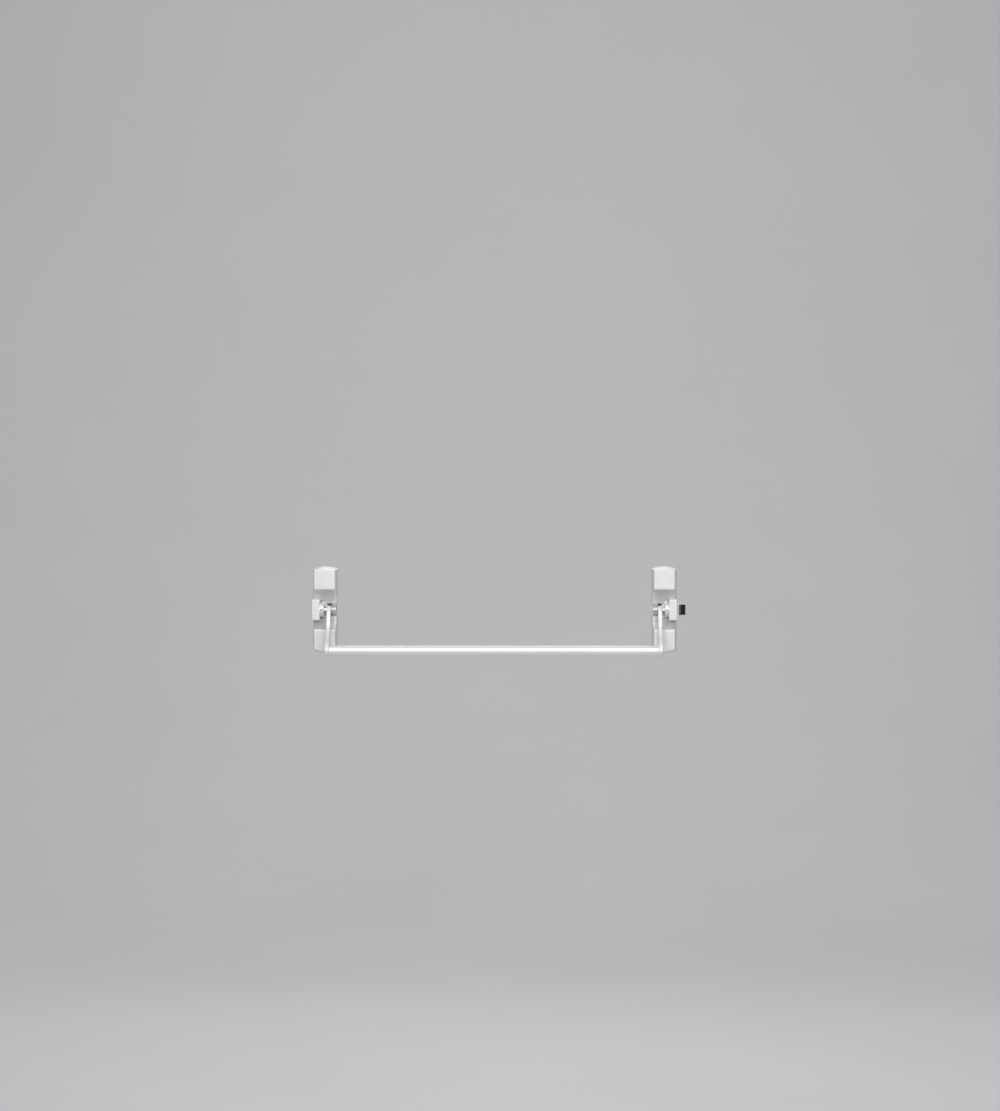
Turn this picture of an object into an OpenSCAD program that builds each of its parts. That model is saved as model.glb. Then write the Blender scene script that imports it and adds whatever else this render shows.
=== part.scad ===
// Panic exit bar for an outward-opening escape door: two end cases on the door face,
// two arms pivoted at mid-height of the cases, and a round push bar between the arms.
// Pushing the bar turns the arms; a finger on the active arm lifts a slide plate,
// and the slide plate's inclined slot draws the latch bolt back into its case.
// Frame: door face at Y = 0, the room is towards -Y, X runs along the bar towards the
// latch, Z is up, and the origin lies midway between the cases at pivot height.
// Side parts are drawn for the active case with u measured outwards from its middle,
// d is the distance from the door face (d = -Y), and the passive case is mirrored.

/* [Device] */
// Distance between the middles of the two end cases
case_pitch = 814; // [500:1:1150]
// Which node to draw

/* [Cases] */
// Case width at the door face
case_w = 60; // [58:0.5:64]
// Case height at the door face
case_h = 208; // [204:1:216]
// Depth of the case's flat front face from the door
case_d = 38; // [37:0.5:42]
// Sheet thickness of the cast covers
cover_wall = 2; // [1.5:0.25:2.5]
// Radius of the convex top and bottom edges
end_arc_r = 78; // [66:1:96]
// How far the front of the bearing block stands from the door
block_d = 50; // [48:1:54]

/* [Push bar] */
// Outside diameter of the bar tube
bar_od = 25; // [24:0.5:28]
// Wall of the bar tube
bar_wall = 1.5; // [1:0.25:2.5]
// Pivot to bar centre
arm_length = 115; // [108:1:122]
// Angle of the resting arm out from the vertical
rest_angle = 33; // [32:1:36]

/* [Latch] */
// How far the latch nose stands out of its guide collar at rest
latch_reach = 16; // [14.5:0.5:18]
// Height of the latch nose
latch_h = 25; // [20:1:25]

/* [Hidden] */
$fn = 64;
slack = 0.3;                        // gap between parts that pass each other
fit = 0.05;                         // radial clearance of pins in their holes
axle_d = 34;                        // axle centre from the door
plate_t = 3;                        // base plate thickness
plate_w = case_w - 5.4;             // base plate width
side_draft = 4;                     // each side leans in by this from door to face
end_draft = 4;                      // each end leans in by this from door to face
edge_r = 3;                         // rounding of the covers' face edges
arc_z = case_h / 2 - end_arc_r;     // height of the end arc's centre
fixing_u = 18;                      // door fixing holes, from the case's middle
fixing_z = 80;
fixing_r = 2.75;
gap_z = 15;                         // the covers stop here on the arm side
cup_gap_z = 22;                     // and here beside the spring cup
block_z = 25;                       // half height of the bearing block
scoop_d = 57;                       // centre of the covers' hollow below the flat face
scoop_z = 9;
scoop_top_z = 48;                   // where the flat face ends
scoop_r = norm([scoop_d - case_d, scoop_top_z - scoop_z]);
screw_d = 11;                       // cover screw, distance from the door
tab_z = case_h / 2 - 8;             // folded tab that takes the cover screw
tab_t = 2;
cover_seat_z = case_h / 2 - 3.5;    // seat of the cover screw's head

arm_u0 = -16;                       // arm between these two faces
arm_u1 = -6;
hub_r = 10;
arm_end_r = bar_od / 2 + 1;
square_w = 8.4;                     // square of the axle that drives the arm
lug_u0 = -28.5;                     // inner bearing lug between these two faces
lug_u1 = -17;
lug_r = 9.5;
cup_r = 16.5;                       // spring cup
cup_u0 = 0.3;
cup_u1 = 11.5;
block_u0 = 10;
block_u1 = case_w / 2;
inner_journal_r = 4;
outer_journal_r = 6;
bore_end_u = 26;                    // blind end of the block's axle bore
spring_leg_u = 8.9;                 // where the return spring's inner leg enters the axle
spigot_len = 25;                    // arm spigot inside the bar tube
bar_y = -axle_d - arm_length * sin(rest_angle);
bar_z = -arm_length * cos(rest_angle);
bar_half = case_pitch / 2 + arm_u0;
set_screw_x = bar_half - 12;

push_angle = 20;                    // full travel of the arms
finger_reach = 25.5;                // axle to the centre of the finger's rounded tip
finger_r = 4;
finger_rest = push_angle / 2;       // the finger points this far below level at rest
lift = 2 * finger_reach * sin(finger_rest);   // rise of the slide plate at full push
throw = 14;                         // travel of the latch bolt
buffer_d = 14;                      // rubber buffers above and below the finger
buffer_r = 3.5;
buffer_z = 11.45;

slide_d0 = 4.5;                     // slide plate between these distances
slide_d1 = 7.5;
slide_top_z = 66;
pin_u = 14;                         // latch pin at rest
pin_r = 3;
post_a = [-6, 18.5];                // guide posts of the slide plate
post_b = [0, 58];
spring_d = 10.5;                    // axis of the slide spring
spring_tab_z = 88;                  // top of the tab that holds the spring rod
collar_len = 5;                     // latch guide collar
nose_u1 = block_u1 + collar_len + latch_reach;
nose_u0 = 26;
nose_d0 = 8;                        // latch bolt between these distances
nose_d1 = 24;
tail_d1 = 16;
guide_d0 = 5;
guide_d1 = 27;
flange_t = 1.9;

silver = [0.80, 0.81, 0.82];
steel = [0.62, 0.64, 0.66];
zinc = [0.74, 0.75, 0.72];
bronze = [0.68, 0.52, 0.30];
rubber = [0.10, 0.10, 0.11];
blacked = [0.07, 0.07, 0.08];

// ---------------------------------------------------------------- helpers

// Places a side part at the active (+1) or the passive (-1) case
module at_case(side) {
  if (side > 0) translate([case_pitch / 2, 0, 0]) children();
  else mirror([1, 0, 0]) translate([case_pitch / 2, 0, 0]) children();
}

// A profile drawn as (y, z), extruded from x0 to x1
module along_x(x0, x1) {
  translate([x0, 0, 0]) rotate([90, 0, 90]) linear_extrude(height = x1 - x0) children();
}

// A profile drawn as (x, z), extruded from distance d0 to d1 off the door
module off_door(d0, d1) {
  translate([0, -d0, 0]) rotate([90, 0, 0]) linear_extrude(height = d1 - d0) children();
}

// A round bar along X about the axle
module axle_rod(u0, u1, r) {
  translate([u0, -axle_d, 0]) rotate([0, 90, 0]) cylinder(h = u1 - u0, r = r);
}

// A round bar off the door at (u, z)
module door_rod(u, z, d0, d1, r, r2 = -1) {
  translate([u, -d0, z]) rotate([90, 0, 0])
    cylinder(h = d1 - d0, r1 = r, r2 = r2 < 0 ? r : r2);
}

// A straight slot in the (x, z) plane, between two end centres
module slot2d(a, b, r) {
  v = b - a;
  translate(a) rotate(atan2(v[1], v[0])) {
    circle(r);
    translate([0, -r]) square([norm(v), 2 * r]);
    translate([norm(v), 0]) circle(r);
  }
}

// Half of a tapered section from the door (w0) to the face (w1) with a round face edge
module tapered_half(w0, w1, depth, r) {
  slope = norm([w0 - w1, depth]);
  side_at = w0 - (w0 - w1) * (depth - r) / depth;
  cx = side_at - r * slope / depth;
  side = [cx + r * depth / slope, depth - r + r * (w0 - w1) / slope];
  polygon([[0, 0], [w0, 0], side, [cx, depth], [0, depth]]);
  translate([cx, depth - r]) circle(r);
}

// A rectangle (u0..u1, z0..z1) whose corners at its far side u1 are rounded
module front_rounded(u0, u1, z0, z1, r) {
  translate([u0, z0]) square([u1 - u0 - r, z1 - z0]);
  translate([u0, z0 + r]) square([u1 - u0, z1 - z0 - 2 * r]);
  for (z = [z0 + r, z1 - r]) translate([u1 - r, z]) circle(r);
}

// A wire of radius r along a path, its sections kept square to the side vector
module wire(path, r, side, sides = 8) {
  n = len(path);
  ring = [for (i = [0:n - 1])
    let (t0 = path[min(i + 1, n - 1)] - path[max(i - 1, 0)],
         t = t0 / norm(t0), b0 = side - (side * t) * t, b = b0 / norm(b0), m = cross(t, b))
      for (k = [0:sides - 1])
        path[i] + r * (cos(360 * k / sides) * b + sin(360 * k / sides) * m)];
  walls = [for (i = [0:n - 2]) for (k = [0:sides - 1])
    let (a = i * sides + k, b = i * sides + (k + 1) % sides)
      each [[a, b, b + sides], [a, b + sides, a + sides]]];
  first = [for (k = [sides - 1:-1:0]) k];
  last = [for (k = [0:sides - 1]) (n - 1) * sides + k];
  polyhedron(points = ring, faces = concat([first], [last], walls));
}

// A cross recess for a screwdriver, cut 1.3 mm deep along +Z from z = 0
module cross_recess() {
  for (a = [0, 90]) rotate(a) translate([-2.2, -0.5, -0.1]) cube([4.4, 1, 1.4]);
}

// ---------------------------------------------------------------- case parts

// The solid form of a case's upper half, shrunk by the wall for its inside
module half_form(inset) {
  difference() {
    intersection() {
      linear_extrude(height = case_h) mirror([0, 1]) {
        tapered_half(case_w / 2 - inset, case_w / 2 - side_draft - inset,
                     case_d - inset, edge_r - inset / 2);
        mirror([1, 0]) tapered_half(case_w / 2 - inset, case_w / 2 - side_draft - inset,
                                    case_d - inset, edge_r - inset / 2);
      }
      translate([0, 0, arc_z]) rotate([90, 0, 0]) rotate_extrude()
        tapered_half(end_arc_r - inset, end_arc_r - end_draft - inset,
                     case_d - inset, edge_r - inset / 2);
    }
    translate([-case_w, -scoop_d, scoop_z]) rotate([0, 90, 0])
      cylinder(h = 2 * case_w, r = scoop_r + inset);
  }
}

// A cover: thin casting, hollow towards the door, stepped round the cup and the block
module cover() {
  difference() {
    union() {
      difference() {
        half_form(0);
        half_form(cover_wall);
      }
      intersection() {
        half_form(0);
        translate([0, -screw_d, tab_z + 0.2]) cylinder(h = 20, r = 5);
      }
    }
    translate([-case_w, -case_d - 1, -1]) cube([2 * case_w, case_d + 2, gap_z + 1]);
    translate([0, -case_d - 1, -1]) cube([case_w, case_d + 2, cup_gap_z + 1]);
    translate([block_u0 - slack, -case_d - 1, -1])
      cube([case_w, case_d + 2, block_z + slack + 1]);
    translate([-case_w, -slack, -1]) cube([2 * case_w, case_w, case_h]);
    translate([0, -screw_d, tab_z - 1]) cylinder(h = 20, r = 2.2);
    translate([0, -screw_d, cover_seat_z]) cylinder(h = 20, r = 4.2);
  }
}

module upper_cover(side) { color(silver) at_case(side) cover(); }

module lower_cover(side) { color(silver) at_case(side) mirror([0, 0, 1]) cover(); }

// Pan-head screws through the ends of the covers into the base plate's tabs
module cover_screws(side) {
  color(steel) at_case(side) for (m = [0, 1]) mirror([0, 0, m])
    translate([0, -screw_d, 0]) difference() {
      union() {
        translate([0, 0, tab_z - tab_t - 4]) cylinder(h = cover_seat_z - tab_z + tab_t + 4, r = 2);
        translate([0, 0, cover_seat_z]) cylinder(h = 2.4, r = 3.8);
      }
      translate([0, 0, cover_seat_z + 2.4]) mirror([0, 0, 1]) cross_recess();
    }
}

// Steel base plate with door fixing holes, folded screw tabs and countersunk holes
module base_plate(side) {
  color(steel) at_case(side) difference() {
    union() {
      off_door(0, plate_t) intersection() {
        square([plate_w, case_h], center = true);
        for (z = [-arc_z, arc_z]) translate([0, z]) circle(end_arc_r - 2.7);
      }
      for (m = [0, 1]) mirror([0, 0, m])
        translate([-8, -screw_d - 5, tab_z - tab_t]) cube([16, screw_d + 4, tab_t]);
      if (side > 0) translate([-6, -spring_d - 4.5, spring_tab_z - tab_t])
        cube([12, spring_d + 3.5, tab_t]);
    }
    for (u = [-fixing_u, fixing_u], z = [-fixing_z, fixing_z])
      door_rod(u, z, -1, plate_t + 1, fixing_r);
    for (m = [0, 1]) mirror([0, 0, m])
      translate([0, -screw_d, tab_z - 5]) cylinder(h = 10, r = 2 + fit);
    for (s = chassis_points) {
      door_rod(s[0], s[1], -1, plate_t + 1, s[2] + 0.15);
      door_rod(s[0], s[1], -0.02, s[2] + 0.02, 2 * s[2] + 0.15, s[2] + 0.15);
    }
    if (side > 0) {
      translate([0, -spring_d, spring_tab_z - 5]) cylinder(h = 10, r = 2.2 + fit);
      for (p = [post_a, post_b]) door_rod(p[0], p[1], -1, plate_t + 1, 2 + fit);
    }
  }
}

// Countersunk screws from the back of the base plate: (u, z, shank radius, length)
chassis_points = [[20, 19.5, 2.5, 12], [20, -19.5, 2.5, 12],
                  [-23.2, 8.5, 2, 11], [-23.2, -8.5, 2, 11]];

module chassis_screws(side) {
  color(steel) at_case(side) for (s = chassis_points) difference() {
    union() {
      door_rod(s[0], s[1], 0.1, s[3], s[2]);
      door_rod(s[0], s[1], 0.1, s[2], 2 * s[2] - 0.1, s[2]);
    }
    translate([s[0], -0.1, s[1]]) rotate([90, 0, 0]) cross_recess();
  }
}

// Cast block that carries the axle's outer end; the active one is tunnelled for the latch
module bearing_block(side) {
  color(silver) at_case(side) difference() {
    intersection() {
      translate([0, 0, -block_z]) linear_extrude(height = 2 * block_z) rotate(-90)
        front_rounded(plate_t, block_d, block_u0, block_u1, 2);
      along_x(block_u0, block_u1) mirror([1, 0])
        front_rounded(plate_t, block_d, -block_z, block_z, 2);
    }
    axle_rod(block_u0 - 1, bore_end_u, 8 + 0.02);
    axle_rod(block_u0 - 1, cup_u1, cup_r + 0.02);
    for (m = [0, 1]) door_rod(20, m * 39 - 19.5, 0, 13, 2.5 + fit);
    if (side > 0) {
      // tunnel for the latch bolt, open to the base plate where the slide plate reaches in
      translate([block_u0 - 1, -nose_d1 - slack, -latch_h / 2 - slack])
        cube([block_u1, nose_d1 - nose_d0 + 2 * slack, latch_h + 2 * slack]);
      translate([block_u0 - 1, -nose_d1 / 2 - 1, -14.5]) cube([10.2, nose_d1 / 2, 29]);
      // seat for the guide's flange
      translate([block_u1 - flange_t - 0.1, -guide_d1 - 0.1, -20.6])
        cube([flange_t + 1, guide_d1 - guide_d0 + 0.2, 41.2]);
      for (m = [-1, 1]) translate([22, -16, m * 17.9]) rotate([0, 90, 0])
        cylinder(h = 10, r = 1.5 + fit);
    }
  }
}

// Pedestal with the lug that carries the axle's inner end and the two buffer pins
module inner_bearing(side) {
  color(zinc) at_case(side) difference() {
    union() {
      axle_rod(lug_u0, lug_u1, lug_r);
      along_x(-27.2, -20) polygon([[-plate_t, -14.5], [-plate_t, 14.5], [-18, 14.5],
        [-26, lug_r + 0.4], [-axle_d, lug_r - 0.5], [-axle_d, 0.5 - lug_r],
        [-26, -lug_r - 0.4], [-18, -14.5]]);
      for (m = [-1, 1]) translate([-21, -buffer_d, m * buffer_z]) rotate([0, 90, 0])
        cylinder(h = 14.5, r = 1.5);
    }
    axle_rod(lug_u0 - 1, lug_u1 + 1, 6 + 0.02);
    axle_rod(lug_u0 - 1, -26.3, 7.6);
    for (m = [-1, 1]) door_rod(-23.2, m * 8.5, 0, 12, 2 + fit);
  }
}

// Rubber sleeves that end the arm's travel at rest and at full push
module buffers(side) {
  color(rubber) at_case(side) for (m = [-1, 1])
    translate([-15.5, -buffer_d, m * buffer_z]) rotate([0, 90, 0]) difference() {
      cylinder(h = 9, r = buffer_r);
      translate([0, 0, -1]) cylinder(h = 11, r = 1.5 + fit);
    }
}

// Bronze bushes: a flanged one in the lug and a plain one in the block
module bushes(side) {
  color(bronze) at_case(side) {
    difference() {
      union() {
        axle_rod(-26.2, lug_u1, 6);
        axle_rod(lug_u1, lug_u1 + 0.8, 8.5);
      }
      axle_rod(-30, -10, inner_journal_r + fit);
    }
    difference() {
      axle_rod(cup_u1 + 0.5, bore_end_u - 0.2, 8);
      axle_rod(cup_u1, 30, outer_journal_r + fit);
    }
  }
}

// Round cup against the block that houses the return spring, slit for the spring's end
module spring_cup(side) {
  color(silver) at_case(side) difference() {
    axle_rod(cup_u0, cup_u1, cup_r);
    axle_rod(cup_u0 + 2, cup_u1 + 1, cup_r - 2.5);
    axle_rod(cup_u0 - 1, cup_u0 + 3, outer_journal_r + 0.6);
    translate([cup_u0 + 2, -axle_d - cup_r - 1, -0.95]) cube([7, 5, 1.9]);
  }
}

// Torsion spring round the axle: one end in the cup's slit, the other in the axle
module return_spring(side) {
  coil = 10.5;
  turns = 2.25;
  steps = 40;
  // starts level, towards the room, and ends straight above the axle
  helix = [for (i = [0:steps]) let (a = 90 - 360 * turns * i / steps)
    [3.9 + (spring_leg_u - 3.9) * i / steps, -axle_d - coil * sin(a), coil * cos(a)]];
  outer_leg = [for (q = [6, 3]) helix[0] + [0, -q, 0]];
  inner_leg = [for (q = [3.5, 6]) helix[steps] - [0, 0, q]];
  color(steel) at_case(side) wire(concat(outer_leg, helix, inner_leg), 0.8, [1, 0, 0]);
}

// ---------------------------------------------------------------- moving bar

// Steel axle: inner journal, square for the arm, neck, outer journal with a spring hole
module axle(side) {
  color(steel) at_case(side) difference() {
    union() {
      axle_rod(-28.2, arm_u0 + 0.1, inner_journal_r);
      translate([arm_u0, -axle_d, 0]) rotate([rest_angle, 0, 0])
        translate([0, -square_w / 2, -square_w / 2])
          cube([arm_u1 - arm_u0 + 0.1, square_w, square_w]);
      axle_rod(arm_u1, cup_u0, 5.5);
      axle_rod(cup_u0 - 0.1, bore_end_u - 1.5, outer_journal_r);
    }
    difference() {
      axle_rod(-27.5, -26.45, 6);
      axle_rod(-28, -26, 3.2);
    }
    translate([spring_leg_u, -axle_d, inner_journal_r]) cylinder(h = 5, r = 1);
  }
}

// Spring clip in the groove at the axle's inner end
module axle_clip(side) {
  color(steel) at_case(side) difference() {
    axle_rod(-27.4, -26.6, 6.4);
    axle_rod(-28, -26, 3.2 + fit);
    translate([-28, -axle_d - 2.4, 0]) cube([2, 4.8, 8]);
  }
}

// Cast arm: hub with a square hole, waisted lever, round end with the bar spigot, and
// the finger that reaches back towards the door
module arm(side) {
  back_cut = 187;                   // large radii that waist the lever on its door side
  front_cut = 172;                  // and hollow it on its room side
  back_t = 6;                       // lever's faces at the waist, from its centre line
  front_t = 5.5;
  color(silver) at_case(side) difference() {
    union() {
      along_x(arm_u0, arm_u1) translate([-axle_d, 0]) rotate(-rest_angle) {
        circle(hub_r);
        translate([0, -arm_length]) circle(arm_end_r);
        difference() {
          polygon([[-hub_r, 0], [hub_r, 0], [arm_end_r, -arm_length],
                   [-arm_end_r, -arm_length]]);
          translate([back_t + back_cut, 4 - arm_length / 2]) circle(back_cut, $fn = 720);
          translate([-front_t - front_cut, 6 - arm_length / 2]) circle(front_cut, $fn = 720);
        }
      }
      along_x(arm_u0 + 1, arm_u1 - 1) translate([-axle_d, 0]) rotate(-finger_rest) {
        translate([0, -finger_r]) square([finger_reach, 2 * finger_r]);
        translate([finger_reach, 0]) circle(finger_r);
      }
      translate([arm_u0 - spigot_len, bar_y, bar_z]) rotate([0, 90, 0])
        cylinder(h = spigot_len + 1, r = bar_od / 2 - bar_wall - fit);
    }
    translate([arm_u0 - 1, -axle_d, 0]) rotate([rest_angle, 0, 0])
      translate([0, -square_w / 2 - fit, -square_w / 2 - fit])
        cube([arm_u1 - arm_u0 + 2, square_w + 2 * fit, square_w + 2 * fit]);
    translate([arm_u0 - 12, bar_y + 5, bar_z]) rotate([-90, 0, 0])
      cylinder(h = bar_od, r = 2.5 + fit);
  }
}

// Round tube between the arms
module cross_bar() {
  color(silver) translate([0, bar_y, bar_z]) difference() {
    translate([-bar_half + 0.1, 0, 0]) rotate([0, 90, 0])
      cylinder(h = 2 * bar_half - 0.2, r = bar_od / 2);
    translate([-bar_half - 1, 0, 0]) rotate([0, 90, 0])
      cylinder(h = 2 * bar_half + 2, r = bar_od / 2 - bar_wall);
    for (x = [-set_screw_x, set_screw_x]) translate([x, 0, 0]) rotate([-90, 0, 0])
      cylinder(h = bar_od, r = 2.5 + fit);
  }
}

// Socket set screws that lock the tube to the arm spigots, on the door side
module bar_set_screws() {
  color(blacked) for (x = [-set_screw_x, set_screw_x])
    translate([x, bar_y + 5.5, bar_z]) rotate([-90, 0, 0]) difference() {
      cylinder(h = bar_od / 2 - 6, r = 2.5);
      translate([0, 0, bar_od / 2 - 8.5]) cylinder(h = 3, r = 1.45, $fn = 6);
    }
}

// ---------------------------------------------------------------- latch

// Slide plate: window for the arm's finger, inclined slot for the latch pin, two
// upright guide slots, and a folded top that the spring presses on
module latch_slide() {
  color(steel) at_case(1) difference() {
    union() {
      off_door(slide_d0, slide_d1) {
        translate([-18.5, -22]) square([27.9, 46]);
        translate([9, -9]) square([9.6, 14]);
        translate([-7, 20]) square([14, slide_top_z - 20]);
      }
      translate([-6, -spring_d - 4.5, slide_top_z - 2])
        cube([12, spring_d + 4.5 - slide_d0, 2]);
    }
    off_door(0, slide_d1 + 1) {
      translate([-15.6, -17.5]) square([9.2, 17.1]);
      slot2d([pin_u, 0], [pin_u - throw, -lift], pin_r + 0.1);
      for (p = [post_a, post_b]) slot2d(p - [0, lift + 0.2], p + [0, 0.2], 3.1);
    }
    translate([0, -spring_d, slide_top_z - 5]) cylinder(h = 10, r = 2.6);
  }
}

// Shouldered posts, riveted in the base plate, that guide the slide plate
module slide_posts() {
  color(steel) at_case(1) for (p = [post_a, post_b]) {
    door_rod(p[0], p[1], 0.2, slide_d1, 2);
    door_rod(p[0], p[1], plate_t, slide_d0 - 0.2, 4.6);
    door_rod(p[0], p[1], plate_t, slide_d1 + 0.2, 3);
    door_rod(p[0], p[1], slide_d1 + 0.2, slide_d1 + 1.7, 4.6);
  }
}

// Rod through the spring, headed over the base plate's tab
module spring_rod() {
  color(steel) at_case(1) translate([0, -spring_d, 0]) {
    translate([0, 0, 63.2]) cylinder(h = spring_tab_z - 63.2, r = 2.2);
    translate([0, 0, spring_tab_z]) cylinder(h = 1.6, r = 3.6);
  }
}

// Compression spring that pushes the slide plate down and the latch out
module slide_spring() {
  bottom = slide_top_z + 0.6;
  top = spring_tab_z - tab_t - 0.6;
  turns = 6;
  steps = 84;
  path = [for (i = [0:steps]) let (a = 360 * turns * i / steps)
    [3.7 * cos(a), -spring_d + 3.7 * sin(a), bottom + (top - bottom) * i / steps]];
  color(steel) at_case(1) wire(path, 0.5, [0, 0, 1], 6);
}

// Latch bolt: narrow tail over the slide plate and a deep nose, bevelled on the room side
module latch_bolt() {
  bevel = nose_d1 - nose_d0 - 4;
  color(blacked) at_case(1) difference() {
    union() {
      translate([pin_u - 4, -tail_d1, -8]) cube([20, tail_d1 - nose_d0, 16]);
      translate([20, -tail_d1, -latch_h / 2]) cube([10, tail_d1 - nose_d0, latch_h]);
      translate([0, 0, -latch_h / 2]) linear_extrude(height = latch_h) mirror([0, 1])
        polygon([[nose_u0, nose_d0], [nose_u1 - 1, nose_d0], [nose_u1, nose_d0 + 1],
                 [nose_u1, nose_d0 + 3.4], [nose_u1 - 0.6, nose_d1 - bevel],
                 [nose_u1 - 0.6 - bevel, nose_d1], [nose_u0, nose_d1]]);
    }
    door_rod(pin_u, 0, nose_d0 - 1, tail_d1 - 2, pin_r + fit);
  }
}

// Pin in the latch's tail that runs in the slide plate's inclined slot
module latch_pin() {
  color(steel) at_case(1) door_rod(pin_u, 0, slide_d0 - 0.4, tail_d1 - 2.5, pin_r);
}

// Guide collar round the latch nose, its flange let into the block's outer side
module latch_guide() {
  color(zinc) at_case(1) difference() {
    union() {
      translate([block_u1 - flange_t, -guide_d1, -20.4])
        cube([flange_t, guide_d1 - guide_d0, 40.8]);
      translate([block_u1 - flange_t, -guide_d1, -latch_h / 2 - 2.9])
        cube([collar_len + flange_t, guide_d1 - guide_d0, latch_h + 5.8]);
    }
    translate([block_u1 - 5, -nose_d1 - slack, -latch_h / 2 - slack])
      cube([20, nose_d1 - nose_d0 + 2 * slack, latch_h + 2 * slack]);
    for (m = [-1, 1]) translate([block_u1, -16, m * 17.9]) rotate([0, -90, 0]) {
      translate([0, 0, -0.02]) cylinder(h = 1, r1 = 2.45, r2 = 1.6);
      cylinder(h = 5, r = 1.6);
    }
  }
}

// Countersunk screws of the guide
module latch_guide_screws() {
  color(steel) at_case(1) for (m = [-1, 1])
    translate([block_u1 - 0.1, -16, m * 17.9]) rotate([0, -90, 0]) difference() {
      union() {
        cylinder(h = 0.9, r1 = 2.3, r2 = 1.5);
        cylinder(h = 7, r = 1.5);
      }
      for (a = [0, 90]) rotate(a) translate([-1.3, -0.3, -0.1]) cube([2.6, 0.6, 0.8]);
    }
}

// ---------------------------------------------------------------- nodes

cross_bar();
bar_set_screws();
base_plate(1);  // active_base_plate
bearing_block(1);  // active_bearing_block
inner_bearing(1);  // active_inner_bearing
bushes(1);  // active_bushes
spring_cup(1);  // active_spring_cup
return_spring(1);  // active_return_spring
buffers(1);  // active_buffers
upper_cover(1);  // active_upper_cover
lower_cover(1);  // active_lower_cover
cover_screws(1);  // active_cover_screws
chassis_screws(1);  // active_chassis_screws
axle(1);  // active_axle
axle_clip(1);  // active_axle_clip
arm(1);  // active_arm
base_plate(-1);  // passive_base_plate
bearing_block(-1);  // passive_bearing_block
inner_bearing(-1);  // passive_inner_bearing
bushes(-1);  // passive_bushes
spring_cup(-1);  // passive_spring_cup
return_spring(-1);  // passive_return_spring
buffers(-1);  // passive_buffers
upper_cover(-1);  // passive_upper_cover
lower_cover(-1);  // passive_lower_cover
cover_screws(-1);  // passive_cover_screws
chassis_screws(-1);  // passive_chassis_screws
axle(-1);  // passive_axle
axle_clip(-1);  // passive_axle_clip
arm(-1);  // passive_arm
latch_slide();
latch_bolt();
latch_pin();
latch_guide();
latch_guide_screws();
slide_posts();
slide_spring();
spring_rod();
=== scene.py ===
from math import asin, atan, atan2, cos, degrees, hypot, pi, radians, sin, sqrt, tan

import bmesh
import bpy
from mathutils import Matrix, Vector


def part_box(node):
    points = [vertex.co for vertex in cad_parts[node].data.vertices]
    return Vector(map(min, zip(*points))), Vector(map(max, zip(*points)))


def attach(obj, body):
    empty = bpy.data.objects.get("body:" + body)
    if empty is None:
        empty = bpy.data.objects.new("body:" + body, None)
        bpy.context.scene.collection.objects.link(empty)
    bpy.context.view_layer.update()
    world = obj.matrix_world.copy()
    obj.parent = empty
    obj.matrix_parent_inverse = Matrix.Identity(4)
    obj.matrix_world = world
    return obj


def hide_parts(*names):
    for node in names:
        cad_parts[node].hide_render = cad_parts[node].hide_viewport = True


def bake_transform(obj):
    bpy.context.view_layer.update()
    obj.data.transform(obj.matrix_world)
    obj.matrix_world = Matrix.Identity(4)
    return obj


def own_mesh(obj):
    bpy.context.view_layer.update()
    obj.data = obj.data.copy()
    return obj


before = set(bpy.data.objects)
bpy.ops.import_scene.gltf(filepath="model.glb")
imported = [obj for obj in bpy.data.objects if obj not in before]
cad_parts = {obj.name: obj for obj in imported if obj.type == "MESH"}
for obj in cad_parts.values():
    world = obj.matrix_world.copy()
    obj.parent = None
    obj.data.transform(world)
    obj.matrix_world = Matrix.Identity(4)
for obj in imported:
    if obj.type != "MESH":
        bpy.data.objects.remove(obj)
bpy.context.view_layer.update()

# Shapes are drawn in millimetres at the latch side: u runs outwards from the middle of the
# case, d is the distance off the door (d = -y) and z is up. place() puts a shape in the
# frame, in metres, and mirrors it for the passive side.
MM = 0.001
SIDES = (("active", 1), ("passive", -1))


def span(node, middle=0.0):
    """A node's box in mm as u0, u1, d0, d1, z0, z1, with u measured from middle."""
    low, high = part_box(node)
    return (low.x / MM - middle, high.x / MM - middle, -high.y / MM, -low.y / MM,
            low.z / MM, high.z / MM)


# ---- measures

PLATE_BOX = span("active_base_plate")
MIDDLE = (PLATE_BOX[0] + PLATE_BOX[1]) / 2
_, _, COVER_D0, CASE_D, GAP_Z, CASE_TOP = span("active_upper_cover", MIDDLE)
BLOCK_U0, BLOCK_U1, PLATE_T, BLOCK_D, _, BLOCK_Z = span("active_bearing_block", MIDDLE)
CUP_U0, CUP_U1, _, _, _, CUP_R = span("active_spring_cup", MIDDLE)
LUG_U0, PINS_U1, _, LUG_D1, _, _ = span("active_inner_bearing", MIDDLE)
ARM_U0, ARM_U1 = -16.0, -6.0
BAR_X0, BAR_X1, BAR_D0, BAR_D1, BAR_Z0, BAR_Z1 = span("cross_bar")
_, NOSE_U1, NOSE_D0, NOSE_D1, _, LATCH_Z = span("latch_bolt", MIDDLE)
_, GUIDE_U1, GUIDE_D0, GUIDE_D1, _, GUIDE_Z = span("latch_guide", MIDDLE)
AXLE_D = (span("active_spring_cup")[2] + span("active_spring_cup")[3]) / 2
AXLE = (0, -AXLE_D, 0)  # a point on the axle's line

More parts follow.
